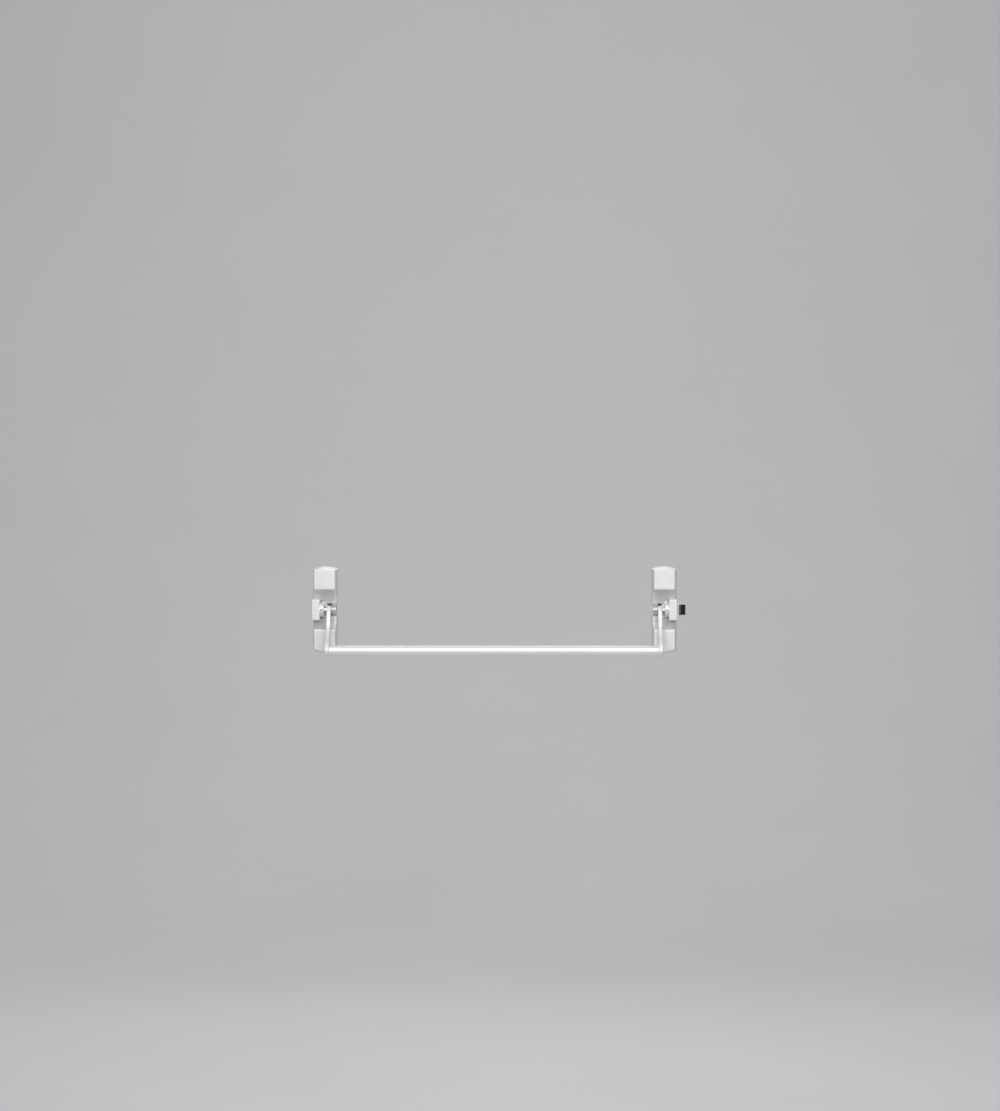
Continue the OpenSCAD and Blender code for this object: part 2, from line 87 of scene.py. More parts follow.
CASE_HALF = BLOCK_U1  # half width at the door
SIDE_DRAFT = 4.0  # a side leans in by this from the door to the face
END_DRAFT = 4.0  # an end leans in by this
ARC_Z = 26.0  # height of the convex end's centre
END_R = CASE_TOP - ARC_Z + END_DRAFT * COVER_D0 / CASE_D
WALL = 2.0  # cover thickness
FACE_EDGE = 3.0  # rounding of the cover's face edges
SCOOP_D = 57.0  # centre of the hollow below the flat face
SCOOP_Z = 9.0
SCOOP_TOP = 48.0  # where it would cut the flat face in a sharp edge
SCOOP_R = hypot(SCOOP_D - CASE_D, SCOOP_TOP - SCOOP_Z)
BROW_R = 5.0  # that edge is rolled over by this
BROW_D = CASE_D - BROW_R
BROW_Z = SCOOP_Z + sqrt((SCOOP_R + BROW_R) ** 2 - (SCOOP_D - BROW_D) ** 2)
BROW_LOW = SCOOP_Z + (BROW_Z - SCOOP_Z) * SCOOP_R / (SCOOP_R + BROW_R)
SLACK = 0.3  # gap between pieces that pass each other
CUP_GAP_Z = 22.0  # the cover stops here beside the cup
BLOCK_GAP_Z = BLOCK_Z + SLACK  # and here beside the block
BLOCK_GAP_U = BLOCK_U0 - SLACK
SCREW_D = 11.0  # cover screws, off the door
COVER_SCREW = (0, -SCREW_D, 0)  # a point on their line
SEAT_Z = 100.5  # seat of a cover screw's head
TAB_Z = 96.0  # outer face of the tab under it
TAB_T = 2.0
FIXING_U, FIXING_Z = 18, 80  # door fixing holes
FIXING_R = 2.75
BUFFERS = ((0, -14, -11.45), (0, -14, 11.45))  # below and above the finger
BUFFER_PIN_R = 1.5
LUG_U1 = -17.0
LUG_R = LUG_D1 - AXLE_D
HUB_R = 10.0
SQUARE = 8.4  # square on the axle
NECK_R = 5.5
JOURNAL_IN = 4.0  # axle radius in the lug
JOURNAL_OUT = 6.0  # and in the block
FIT = 0.05
REST_ANGLE = radians(33)
FINGER_ANGLE = radians(10)
FINGER_REACH = 25.5
FINGER_R = 4.0
BAR_R = (BAR_D1 - BAR_D0) / 2
BAR_D = (BAR_D0 + BAR_D1) / 2
BAR_Z = (BAR_Z0 + BAR_Z1) / 2
BAR_WALL = 1.5
ARM_LENGTH = hypot(BAR_D - AXLE_D, BAR_Z)
ARM_END_R = BAR_R + 1
SET_SCREW_X = BAR_X1 + 0.1 - 12
SPIGOT = 25.0
PIN_U = 14.0  # latch pin at rest
PIN_R = 3  # radius of the pin and of the posts
PIN_SLOT_R = 3.1  # and of the slots they run in
THROW = 14.0
LIFT = 2 * FINGER_REACH * sin(FINGER_ANGLE)
POSTS = ((-6.0, 18.5), (0.0, 58.0))
SLIDE_D0, SLIDE_D1 = 4.5, 7.5
SLIDE_TOP = 66.0
SPRING_D = 10.5
SPRING_TAB_Z = 88.0
GUIDE_SCREWS = ((-16, -17.9), (-16, 17.9))  # y and z
# place, radius and length of the screws through the plate's back
CHASSIS_SCREWS = ((20.0, 19.5, 2.5, 12.0), (20.0, -19.5, 2.5, 12.0),
                  (-23.2, 8.5, 2.0, 11.0), (-23.2, -8.5, 2.0, 11.0))


# ---- outlines

def arc(x, y, radius, start, end, steps):
    """Points on an arc, both ends included, angles in degrees."""
    angles = [radians(start + (end - start) * i / steps) for i in range(steps + 1)]
    return [(x + radius * cos(a), y + radius * sin(a)) for a in angles]


def circle(x, y, radius, steps=48):
    """A closed circle of points."""
    return arc(x, y, radius, 0, 360, steps)[:-1]


def filleted(corners, steps=5):
    """A loop through corners (x, y) or (x, y, radius), the latter rounded to an arc."""
    points = []
    count = len(corners)
    for i, corner in enumerate(corners):
        radius = corner[2] if len(corner) > 2 else 0
        here = Vector(corner[:2])
        if not radius:
            points.append(tuple(here))
            continue
        before = (Vector(corners[i - 1][:2]) - here).normalized()
        after = (Vector(corners[(i + 1) % count][:2]) - here).normalized()
        half = before.angle(after) / 2
        middle = here + (before + after).normalized() * radius / sin(half)
        first = here + before * radius / tan(half) - middle
        last = here + after * radius / tan(half) - middle
        turn = first.angle_signed(last)
        start = atan2(first.y, first.x)
        for k in range(steps + 1):
            a = start - turn * k / steps
            points.append((middle.x + radius * cos(a), middle.y + radius * sin(a)))
    return points


def rectangle(x0, x1, y0, y1, radius=0.0):
    """A rectangle with rounded corners."""
    return filleted([(x0, y0, radius), (x1, y0, radius), (x1, y1, radius),
                     (x0, y1, radius)])


def slot_loop(start, end, radius):
    """A straight slot between two end centres."""
    a = degrees(atan2(end[1] - start[1], end[0] - start[0]))
    return (arc(end[0], end[1], radius, a - 90, a + 90, 16)
            + arc(start[0], start[1], radius, a + 90, a + 270, 16))


# ---- solids

def linked(data, name="shape"):
    """A new object for a mesh, curve, light or camera, in the scene."""
    obj = bpy.data.objects.new(name, data)
    bpy.context.scene.collection.objects.link(obj)
    return obj


def mesh_of(bm):
    """The mesh of a bmesh, which is used up."""
    mesh = bpy.data.meshes.new("shape")
    bm.to_mesh(mesh)
    bm.free()
    return mesh


def cleaned(bm):
    """The mesh of a closed bmesh, its doubles merged and its faces turned outwards."""
    bmesh.ops.remove_doubles(bm, verts=bm.verts, dist=1e-3)
    bmesh.ops.dissolve_degenerate(bm, edges=bm.edges, dist=1e-3)
    bmesh.ops.recalc_face_normals(bm, faces=bm.faces)
    return mesh_of(bm)


def with_settings(item, **settings):
    """item with its properties set."""
    for key, value in settings.items():
        setattr(item, key, value)
    return item


def modified(obj, kind, **settings):
    """obj with a modifier of that kind and settings added."""
    with_settings(obj.modifiers.new(kind, kind), **settings)
    return obj


def baked(obj):
    """obj with its modifiers, or its curve, turned into a plain mesh."""
    graph = bpy.context.evaluated_depsgraph_get()
    mesh = bpy.data.meshes.new_from_object(obj.evaluated_get(graph))
    bm = bmesh.new()
    bm.from_mesh(mesh)
    result = linked(cleaned(bm))
    bpy.data.meshes.remove(mesh)
    bpy.data.objects.remove(obj)
    return result


TURNS = {"z": Matrix.Identity(4),
         "x": Matrix(((0, 0, 1, 0), (1, 0, 0, 0), (0, 1, 0, 0), (0, 0, 0, 1))),
         "d": Matrix(((1, 0, 0, 0), (0, 0, -1, 0), (0, 1, 0, 0), (0, 0, 0, 1)))}


def curved(paths, cyclic, **settings):
    """The mesh that a curve with those settings makes along paths of points."""
    curve = with_settings(bpy.data.curves.new("curve", "CURVE"), **settings)
    for path in paths:
        spline = curve.splines.new("POLY")
        spline.points.add(len(path) - 1)
        spline.use_cyclic_u = cyclic
        for point, where in zip(spline.points, path):
            point.co = (*(*where, 0)[:3], 1)
    return baked(linked(curve))


def extruded(loops, low, high, rim, along="z", steps=2):
    """A flat shape with holes, extruded from low to high, its rims rounded.

    Loops are (x, y) for along z, (y, z) for along x and (u, z) for along d.
    """
    obj = curved(loops, True, dimensions="2D", fill_mode="BOTH", bevel_depth=rim,
                 extrude=(high - low) / 2 - rim, bevel_resolution=steps, offset=-rim)
    obj.data.transform(TURNS[along] @ Matrix.Translation((0, 0, (low + high) / 2)))
    return obj


def lathe(profile, along, at, steps=64):
    """A closed profile of (height, radius) turned about a line through at."""
    bm = bmesh.new()
    rings = []
    for height, radius in profile:
        if radius < 1e-6:
            rings.append([bm.verts.new((0, 0, height))] * steps)
            continue
        rings.append([bm.verts.new((radius * cos(2 * pi * k / steps),
                                    radius * sin(2 * pi * k / steps), height))
                      for k in range(steps)])
    for i, ring in enumerate(rings):
        other = rings[(i + 1) % len(rings)]
        for k in range(steps):
            face = [ring[k], ring[(k + 1) % steps], other[(k + 1) % steps], other[k]]
            unique = list(dict.fromkeys(face))
            if len(unique) > 2:
                bm.faces.new(unique)
    obj = linked(cleaned(bm))
    obj.data.transform(Matrix.Translation(at) @ TURNS[along])
    return obj


def rod(along, at, low, high, radius, chamfer=0.0, steps=48):
    """A round solid along a line, its ends chamfered."""
    profile = [(low, 0), (low, radius - chamfer), (low + chamfer, radius),
               (high - chamfer, radius), (high, radius - chamfer), (high, 0)]
    if not chamfer:
        profile = [(low, 0), (low, radius), (high, radius), (high, 0)]
    return lathe(profile, along, at, steps)


def stepped_bore(along, at, steps, facets=64):
    """A tool for a stepped hole: steps are (from, to, radius), end to end."""
    profile = [(steps[0][0], 0)]
    for low, high, radius in steps:
        profile += [(low, radius), (high, radius)]
    return lathe(profile + [(steps[-1][1], 0)], along, at, facets)


def sharp_box(u0, u1, d0, d1, height):
    """A bmesh of a sharp box, level with the axle."""
    bm = bmesh.new()
    size = Matrix.Diagonal((u1 - u0, d1 - d0, height, 1))
    centre = Matrix.Translation(((u0 + u1) / 2, -(d0 + d1) / 2, 0))
    bmesh.ops.create_cube(bm, size=1, matrix=centre @ size)
    return bm


def slab(u0, u1, d0, d1, height):
    """A sharp box to cut with."""
    return linked(cleaned(sharp_box(u0, u1, d0, d1, height)))


def combined(base, tools, how):
    """base with each tool added to it or cut out of it."""
    for tool in tools:
        modified(base, "BOOLEAN", operation=how, solver="EXACT", object=tool)
    base = baked(base)
    for tool in tools:
        bpy.data.objects.remove(tool)
    return base


def cut(base, *tools):
    """base less the tools."""
    return combined(base, tools, "DIFFERENCE")


def joined(base, *tools):
    """base with the tools added."""
    return combined(base, tools, "UNION")


def softened(obj, width):
    """Rounds every sharp edge."""
    return baked(modified(obj, "BEVEL", width=width, segments=2, limit_method="ANGLE",
                          angle_limit=radians(50)))


def wire(path, radius):
    """A round wire along a path of points."""
    return curved([path], False, dimensions="3D", bevel_depth=radius, bevel_resolution=4,
                  use_fill_caps=True)


def cross_recess(along, at, size, depth, towards):
    """Tools that cut a cross recess whose mouth is at `at`, going towards +1 or -1."""
    tools = []
    half, thick = size / 2, size * 0.12
    mouth, floor = (-0.2, 1.06), (depth, 0.55)  # height and scale of each end
    for turn in (0, 90):
        bm = bmesh.new()
        for height, scale in (mouth, floor):
            for x, y in ((half, thick), (-half, thick), (-half, -thick), (half, -thick)):
                bm.verts.new((x * scale, y * scale, height * towards))
        bm.verts.ensure_lookup_table()
        low, high = list(bm.verts[:4]), list(bm.verts[4:])
        bm.faces.new(low)
        bm.faces.new(high)
        for k in range(4):
            bm.faces.new((low[k], low[(k + 1) % 4], high[(k + 1) % 4], high[k]))
        tool = linked(cleaned(bm))
        tool.data.transform(Matrix.Translation(at) @ TURNS[along]
                            @ Matrix.Rotation(radians(turn), 4, "Z"))
        tools.append(tool)
    return tools


# ---- placing

def mark_edges(mesh):
    """Stores on each face how tightly it curves outwards, as an attribute that the shaders
    use for edge wear and for a painted highlight on rounded edges.
    """
    bm = bmesh.new()
    bm.from_mesh(mesh)
    # this mask lights up rounded edges: partly worn paint, partly a painted highlight
    layer = bm.faces.layers.float.new("edge_wear_and_highlight")
    gentle, tight = 130.0, 420.0  # curvature in radians per metre
    for face in bm.faces:
        centre, most = face.calc_center_median(), 0.0
        for edge in face.edges:
            if len(edge.link_faces) != 2 or not edge.is_convex:
                continue
            other = edge.link_faces[1 if edge.link_faces[0] is face else 0]
            gap = (other.calc_center_median() - centre).length
            most = max(most, edge.calc_face_angle(0.0) / max(gap, 1e-6))
        face[layer] = min(max((most - gentle) / (tight - gentle), 0.0), 1.0)
    bm.to_mesh(mesh)
    bm.free()


def place(obj, name, look, body, nodes, side=1, middle=MIDDLE):
    """Puts a finished shape in the frame: mirrored if passive, in metres, on its body."""
    mesh = obj.data
    mesh.transform(Matrix.Diagonal((MM, MM, MM, 1)) @ Matrix.Translation((middle, 0, 0)))
    if side < 0:
        mesh.transform(Matrix.Diagonal((-1, 1, 1, 1)))
        mesh.flip_normals()
    mark_edges(mesh)
    mesh.shade_smooth()
    mesh.set_sharp_from_angle(angle=radians(32))
    obj.name = name
    mesh.name = name
    material, slot = look
    mesh.materials.append(material)
    modified(obj, "WEIGHTED_NORMAL", keep_sharp=True)
    if body:
        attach(obj, body)
    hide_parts(*nodes)
    return obj


# ---- materials

class Look:
    """A node material in the making, with object coordinates at hand."""

    def __init__(self, name, metallic, coat=0.0):
        self.material = bpy.data.materials.new(name)
        self.material.use_nodes = True
        self.tree = self.material.node_tree
        self.tree.nodes.clear()
        output = self.tree.nodes.new("ShaderNodeOutputMaterial")
        self.shader = self.tree.nodes.new("ShaderNodeBsdfPrincipled")
        self.shader.inputs["Metallic"].default_value = metallic
        self.shader.inputs["Coat Weight"].default_value = coat
        self.shader.inputs["Coat Roughness"].default_value = 0.18
        self.tree.links.new(self.shader.outputs[0], output.inputs[0])
        self.place = self.tree.nodes.new("ShaderNodeTexCoord").outputs["Object"]
        self.relief = None

    def node(self, kind, settings=(), **inputs):
        """A node with settings, and inputs that are numbers, colours or other outputs."""
        made = with_settings(self.tree.nodes.new(kind), **dict(settings))
        for key, value in inputs.items():
            socket = made.inputs[int(key[1:])] if key[0] == "_" else made.inputs[key]
            if isinstance(value, bpy.types.NodeSocket):
                self.tree.links.new(value, socket)
            else:
                socket.default_value = value
        return made

    def noise(self, scale, detail=3.0, stretch=(1, 1, 1), roughness=0.5):
        """Noise of that many cells a metre, squeezed along each axis by stretch."""
        where = self.node("ShaderNodeMapping", Vector=self.place, Scale=stretch)
        made = self.node("ShaderNodeTexNoise", Vector=where.outputs[0], Scale=scale,
                         Detail=detail, Roughness=roughness)
        return made.outputs["Fac"]

    def cells(self, scale, output="Distance"):
        """A cell pattern of that many cells a metre."""
        made = self.node("ShaderNodeTexVoronoi", Vector=self.place, Scale=scale)
        return made.outputs[output]

    def ranged(self, value, low, high, new_low, new_high):
        """value from low..high carried to new_low..new_high, and held there."""
        made = self.node("ShaderNodeMapRange", Value=value)
        for index, number in enumerate((low, high, new_low, new_high), 1):
            made.inputs[index].default_value = number
        return made.outputs[0]

    def cloud(self, scale, detail, low=0, high=1, **more):
        """Noise that wanders over the whole range from low to high."""
        return self.ranged(self.noise(scale, detail, **more), 0.3, 0.7, low, high)

    def mixed(self, share, first, second):
        """Two colours mixed by share."""
        made = self.node("ShaderNodeMix", {"data_type": "RGBA"}, _0=share)
        for index, colour in ((6, first), (7, second)):
            if isinstance(colour, bpy.types.NodeSocket):
                self.tree.links.new(colour, made.inputs[index])
            else:
                made.inputs[index].default_value = colour
        return made.outputs[2]

    def maths(self, how, first, second):
        """A sum, product or the like of two values."""
        return self.node("ShaderNodeMath", {"operation": how}, _0=first, _1=second).outputs[0]

    def bump(self, height, strength, depth):
        """Adds relief of that depth in metres."""
        made = self.node("ShaderNodeBump", Height=height, Strength=strength, Distance=depth)
        if self.relief:
            self.tree.links.new(self.relief, made.inputs["Normal"])
        self.relief = made.outputs[0]

    def grain(self, strength, depth, *noise):
        """Relief from noise of that scale, detail and stretch."""
        self.bump(self.noise(*noise), strength, depth)

    def edges(self):
        """A mask of outer edges, 0 to 1, broken up by noise: edge wear and a painted
        highlight together.
        """
        highlight_and_wear = self.node("ShaderNodeAttribute", {"attribute_name": "edge_wear_and_highlight"})
        broken = self.ranged(self.noise(160, 4), 0.35, 0.6, 0.25, 1.0)
        return self.maths("MULTIPLY", highlight_and_wear.outputs["Fac"], broken)

    def flaked(self, cloud, dull, bright, cells, most, flake):
        """Lacquer: a slow cloud between two greys with fine bright flake over it."""
        colour = self.mixed(cloud, dull, bright)
        share = self.ranged(self.noise(cells, 2), 0.42, 0.62, 0, most)
        return self.mixed(share, colour, flake)

    def worn_and_highlit(self, colour, rough, share, tone):
        """Colour and roughness with the outer edges brighter and smoother: partly paint worn
        thin, partly a painted highlight along the rounded edges.
        """
        edge = self.edges()
        colour = self.mixed(self.maths("MULTIPLY", edge, share), colour, tone)
        return colour, self.maths("SUBTRACT", rough, self.maths("MULTIPLY", edge, 0.08))

    def done(self, colour, roughness):
        """Links colour, roughness and relief to the shader."""
        self.tree.links.new(colour, self.shader.inputs["Base Color"])
        self.tree.links.new(roughness, self.shader.inputs["Roughness"])
        if self.relief:
            self.tree.links.new(self.relief, self.shader.inputs["Normal"])
        return self.material


def grey(value, warmth=0.0):
    """A near neutral colour."""
    return (value * (1 + warmth), value, value * (1 - warmth), 1)


def silver_paint():
    """Silver lacquer on a casting: fine flake, orange peel, and edges painted brighter,
    partly as thin worn paint and partly as a painted highlight.
    """
    look = Look("silver_paint", metallic=0.32, coat=0.15)
    colour = look.flaked(look.cloud(16, 4), grey(0.66, 0.002), grey(0.73, -0.004),
                         2600, 0.35, grey(0.86))
    # outer edges painted brighter: worn paint and a painted highlight
    colour, rough = look.worn_and_highlit(colour, look.cloud(45, 3, 0.42, 0.53), 0.55, grey(0.9))
    look.grain(0.25, 0.0006, 55, 2)
    look.grain(0.22, 0.00022, 650, 2)
    return look.done(colour, rough)


def silver_cast():
    """The same lacquer on the rougher castings of arms, blocks and cups."""
    look = Look("silver_cast", metallic=0.34, coat=0.12)
    colour = look.flaked(look.cloud(24, 4), grey(0.67, 0.004), grey(0.75, -0.003),
                         2400, 0.35, grey(0.88))
    # outer edges painted brighter: worn paint and a painted highlight
    colour, rough = look.worn_and_highlit(colour, look.cloud(70, 3, 0.4, 0.54), 0.6, grey(0.92))
    look.grain(0.3, 0.0006, 90, 3)
    look.grain(0.3, 0.0002, 820, 3)
    return look.done(colour, rough)


def silver_tube():
    """Silver lacquer on drawn tube: faint lengthwise lines and polished hand marks."""
    look = Look("silver_tube", metallic=0.36, coat=0.25)
    colour = look.flaked(look.cloud(9, 3, stretch=(0.4, 1, 1)), grey(0.74, 0.002),
                         grey(0.8, -0.002), 2600, 0.3, grey(0.9))
    hands = look.ranged(look.noise(7, 5, (0.6, 1, 1), 0.6), 0.45, 0.62, 0, 1)
    rough = look.ranged(hands, 0, 1, 0.37, 0.46)
    look.grain(0.12, 0.00015, 900, 2, (0.02, 1, 1))
    look.grain(0.15, 0.00018, 700, 2)
    return look.done(colour, rough)


def plated_steel():
    """Bright zinc plating: small spangles, a faint tint and rolling lines."""
    look = Look("plated_steel", metallic=1.0)
    spangle = look.cells(420, output="Color")
    tone = look.node("ShaderNodeRGBToBW", Color=spangle).outputs[0]
    colour = look.mixed(look.ranged(tone, 0.2, 0.8, 0, 1), (0.6, 0.615, 0.635, 1),
                        (0.67, 0.68, 0.685, 1))
    tint = look.ranged(look.noise(30, 4), 0.45, 0.7, 0, 0.22)
    colour = look.mixed(tint, colour, (0.66, 0.63, 0.54, 1))
    # edges painted lighter: wear and a painted highlight
    colour = look.mixed(look.edges(), colour, grey(0.8))
    rough = look.cloud(120, 4, 0.26, 0.44)
    look.grain(0.12, 0.00012, 1400, 2, (1, 1, 0.03))
    look.grain(0.12, 0.0002, 500, 3)
    return look.done(colour, rough)


def raw_zinc():
    """Die-cast zinc as it left the mould, dull and slightly blotched."""
    look = Look("raw_zinc", metallic=0.85)
    cloud = look.cloud(40, 5, roughness=0.6)
    colour = look.mixed(cloud, (0.5, 0.51, 0.52, 1), (0.64, 0.65, 0.66, 1))
    grain = look.ranged(look.noise(1500, 3), 0.4, 0.65, 0, 0.4)
    colour = look.mixed(grain, colour, grey(0.42))
    # edges painted lighter: wear and a painted highlight
    colour = look.mixed(look.edges(), colour, grey(0.8))
    rough = look.cloud(90, 4, 0.38, 0.55)
    look.grain(0.3, 0.0005, 130, 3)
    look.grain(0.3, 0.00015, 1300, 3)
    return look.done(colour, rough)


def sintered_bronze():
    """Oiled sintered bronze with open pores."""
    look = Look("sintered_bronze", metallic=0.95)
    cloud = look.cloud(180, 4)
    colour = look.mixed(cloud, (0.42, 0.27, 0.11, 1), (0.6, 0.42, 0.2, 1))
    pores = look.ranged(look.cells(2600), 0.1, 0.35, 0, 1)
    colour = look.mixed(pores, (0.12, 0.07, 0.03, 1), colour)
    rough = look.cloud(300, 3, 0.34, 0.5)
    look.bump(pores, 0.4, 0.0001)
    return look.done(colour, rough)


def spring_steel():
    """Drawn spring wire, oiled and blued."""
    look = Look("spring_steel", metallic=1.0)
    cloud = look.ranged(look.noise(220, 4), 0.35, 0.65, 0, 1)
    colour = look.mixed(cloud, (0.16, 0.17, 0.2, 1), (0.34, 0.34, 0.35, 1))
    rough = look.cloud(600, 3, 0.24, 0.4)
    look.grain(0.2, 0.00008, 2200, 2)
    return look.done(colour, rough)


def buffer_rubber():
    """Matt black rubber with a bloom of dust."""
    look = Look("buffer_rubber", metallic=0.0)
    bloom = look.ranged(look.noise(260, 5, roughness=0.65), 0.4, 0.75, 0, 1)
    colour = look.mixed(bloom, (0.018, 0.018, 0.019, 1), (0.05, 0.05, 0.048, 1))
    rough = look.cloud(500, 3, 0.55, 0.8)
    look.grain(0.35, 0.00012, 1700, 3)
    return look.done(colour, rough)


def blacked_steel():
    """Black latch steel, rubbed bright along its sliding faces; its edges are painted
    lighter, partly as wear and partly as a painted highlight.
    """
    look = Look("blacked_steel", metallic=0.6)
    cloud = look.cloud(110, 4)
    colour = look.mixed(cloud, (0.016, 0.017, 0.018, 1), (0.04, 0.041, 0.043, 1))
    rubbed = look.ranged(look.noise(900, 3, (0.04, 1, 1)), 0.5, 0.8, 0, 0.3)
    colour = look.mixed(rubbed, colour, grey(0.12))
    # edges painted lighter: wear and a painted highlight
    colour = look.mixed(look.maths("MULTIPLY", look.edges(), 0.6), colour, grey(0.4))
    rough = look.cloud(200, 4, 0.3, 0.46)
    look.grain(0.25, 0.00015, 1200, 3)
    return look.done(colour, rough)


# each look with the record's slot that it stands for
PAINT = (silver_paint(), "silver")
CAST = (silver_cast(), "silver")
TUBE = (silver_tube(), "silver_bar")
PLATED = (plated_steel(), "plated_steel")
ZINC = (raw_zinc(), "zinc_casting")
BRONZE = (sintered_bronze(), "bronze")
SPRING = (spring_steel(), "spring_steel")
RUBBER = (buffer_rubber(), "rubber")
BLACK = (blacked_steel(), "blacked_steel")


# ---- covers

def cover_half_width(d):
    """Half the cover's width at depth d."""
    return CASE_HALF - SIDE_DRAFT * d / CASE_D


def end_loop(d, steps):
    """Top of the cover at depth d, from the outer corner over to the inner one."""
    radius = END_R - END_DRAFT * d / CASE_D
    corner = degrees(asin(cover_half_width(d) / radius))
    return arc(0, ARC_Z, radius, 90 - corner, 90 + corner, steps)


def scoop_depth(z):
    """Depth of the cover's surface in the hollow below the flat face."""
    if z > BROW_LOW:
        return BROW_D + sqrt(BROW_R ** 2 - (BROW_Z - z) ** 2)
    return SCOOP_D - sqrt(SCOOP_R ** 2 - (z - SCOOP_Z) ** 2)


def cover_skin():
    """The cover's outer surface: face, end, sides and the stepped hollow, rim open."""
    steps = 14  # each is longer than the rounding of the edges
    bm = bmesh.new()
    made = {}

    def vert(u, d, z):
        key = (round(u, 4), round(d, 4), round(z, 4))
        if key not in made:
            made[key] = bm.verts.new((u, -d, z))
        return made[key]

    front = [vert(u, CASE_D, z) for u, z in end_loop(CASE_D, steps)]
    back = [vert(u, COVER_D0, z) for u, z in end_loop(COVER_D0, steps)]
    for k in range(steps):
        bm.faces.new((front[k], front[k + 1], back[k + 1], back[k]))
    bottoms = (GAP_Z, CUP_GAP_Z, BLOCK_GAP_Z)  # of the columns, from the arm outwards
    levels = sorted(set(bottoms)
                    | {BROW_LOW - 1.65 * k for k in range(18)}
                    | {BROW_Z - (BROW_Z - BROW_LOW) * k / 6 for k in range(6)})

    def column_u(index, d):
        return (-cover_half_width(d), 0.0, BLOCK_GAP_U, cover_half_width(d))[index]

    for index, bottom in enumerate(bottoms):
        rows = [z for z in levels if z >= bottom - 1e-6]
        for low, high in zip(rows, rows[1:]):
            d_low, d_high = scoop_depth(low), scoop_depth(high)
            bm.faces.new((vert(column_u(index, d_low), d_low, low),
                          vert(column_u(index + 1, d_low), d_low, low),
                          vert(column_u(index + 1, d_high), d_high, high),
                          vert(column_u(index, d_high), d_high, high)))
    bottom_row = [vert(column_u(i, CASE_D), CASE_D, BROW_Z) for i in range(4)]
    bm.faces.new(bottom_row + front)
    for sign, bottom, corner in ((-1, GAP_Z, -1), (1, BLOCK_GAP_Z, 0)):
        rows = [z for z in levels if z >= bottom - 1e-6]
        edge = [vert(sign * cover_half_width(scoop_depth(z)), scoop_depth(z), z)
                for z in rows]
        foot = vert(sign * cover_half_width(COVER_D0), COVER_D0, bottom)
        bm.faces.new([foot] + edge + [front[corner], back[corner]])
    bmesh.ops.recalc_face_normals(bm, faces=bm.faces)
    return bm


def cover_shape():
    """A cover as a thin casting with rounded edges."""
    bm = cover_skin()
    weight = bm.edges.layers.float.new("bevel_weight_edge")
    for edge in bm.edges:
        if len(edge.link_faces) != 2 or edge.calc_face_angle() < radians(25):
            continue
        low, high = edge.verts
        upright = abs(low.co.y - high.co.y) > 20
        edge[weight] = 0.6 if upright else 1.0
    obj = linked(mesh_of(bm))
    modified(obj, "BEVEL", limit_method="WEIGHT", width=FACE_EDGE, segments=6,
             use_clamp_overlap=False)
    obj = baked(modified(obj, "SOLIDIFY", thickness=WALL, offset=-1, use_even_offset=True))
    for vertex in obj.data.vertices:
        vertex.co.y = min(vertex.co.y, -COVER_D0)
    return obj


def mirrored_z(obj):
    """A copy of a shape, turned over to the other end of the case."""
    other = linked(obj.data.copy())
    other.data.transform(Matrix.Diagonal((1, 1, -1, 1)))
    other.data.flip_normals()
    return other


def together(*shapes):
    """Separate solids kept in one mesh."""
    bm = bmesh.new()
    for shape in shapes:
        bm.from_mesh(shape.data)
        bpy.data.objects.remove(shape)
    return linked(mesh_of(bm))


def rounded_rims(obj, width):
    """Rounds the cover's cut edges, which lie at the door, at the gaps and at the screw.

    The short edges in the corners inside the wall are left as they are.
    """
    bm = bmesh.new()
    bm.from_mesh(obj.data)
    weight = bm.edges.layers.float.new("bevel_weight_edge")
    for edge in bm.edges:
        inner_corner = 22 < abs(edge.verts[0].co.x) < 25 and edge.calc_length() < 1
        if edge.calc_face_angle(0) > radians(70) and not inner_corner:
            edge[weight] = 1
    bm.to_mesh(obj.data)
    bm.free()
    return baked(modified(obj, "BEVEL", limit_method="WEIGHT", width=width, segments=2))


def upper_cover():
    """The cover with a bored boss for its screw, its rims eased."""
    boss = rod("z", COVER_SCREW, TAB_Z + 0.2, SEAT_Z + 0.4, 5)
    bore = stepped_bore("z", COVER_SCREW, [(TAB_Z - 1, SEAT_Z, 2.2),
                                           (SEAT_Z, CASE_TOP + 5, 4.2)])
    return rounded_rims(cut(joined(cover_shape(), boss), bore), 0.35)


# ---- fixed pieces

def base_plate(side):
    """Plate with door fixing holes, countersinks on its back and folded tabs."""
    half = PLATE_BOX[1] - MIDDLE
    end_r = PLATE_BOX[5] - ARC_Z
    corner = degrees(asin(half / end_r))
    outline = (arc(0, ARC_Z, end_r, 90 - corner, 90 + corner, 28)
               + arc(0, -ARC_Z, end_r, 270 - corner, 270 + corner, 28))
    holes = [circle(u, z, FIXING_R) for u in (-FIXING_U, FIXING_U)
             for z in (-FIXING_Z, FIXING_Z)]
    holes += [circle(u, z, r + 0.15) for u, z, r, _ in CHASSIS_SCREWS]
    if side > 0:
        holes += [circle(u, z, 2 + FIT) for u, z in POSTS]
    plate = extruded([outline] + holes, 0, PLATE_T, 0.3, "d")
    sinks = [lathe([(-0.5, 0), (-0.5, 2 * r + 0.65), (r, r + 0.15), (r, 0)], "d", (u, 0, z))
             for u, z, r, _ in CHASSIS_SCREWS]
    plate = cut(plate, *sinks)
    tab = extruded([rectangle(-8, 8, -SCREW_D - 5, -1, 1.5), circle(0, -SCREW_D, 2 + FIT)],
                   TAB_Z - TAB_T, TAB_Z, 0.3)
    tabs = [tab, mirrored_z(tab)]
    if side > 0:
        tabs.append(extruded([rectangle(-6, 6, -SPRING_D - 4.5, -1, 1.5),
                              circle(0, -SPRING_D, 2.25)],
                             SPRING_TAB_Z - TAB_T, SPRING_TAB_Z, 0.3))
    return joined(plate, *tabs)


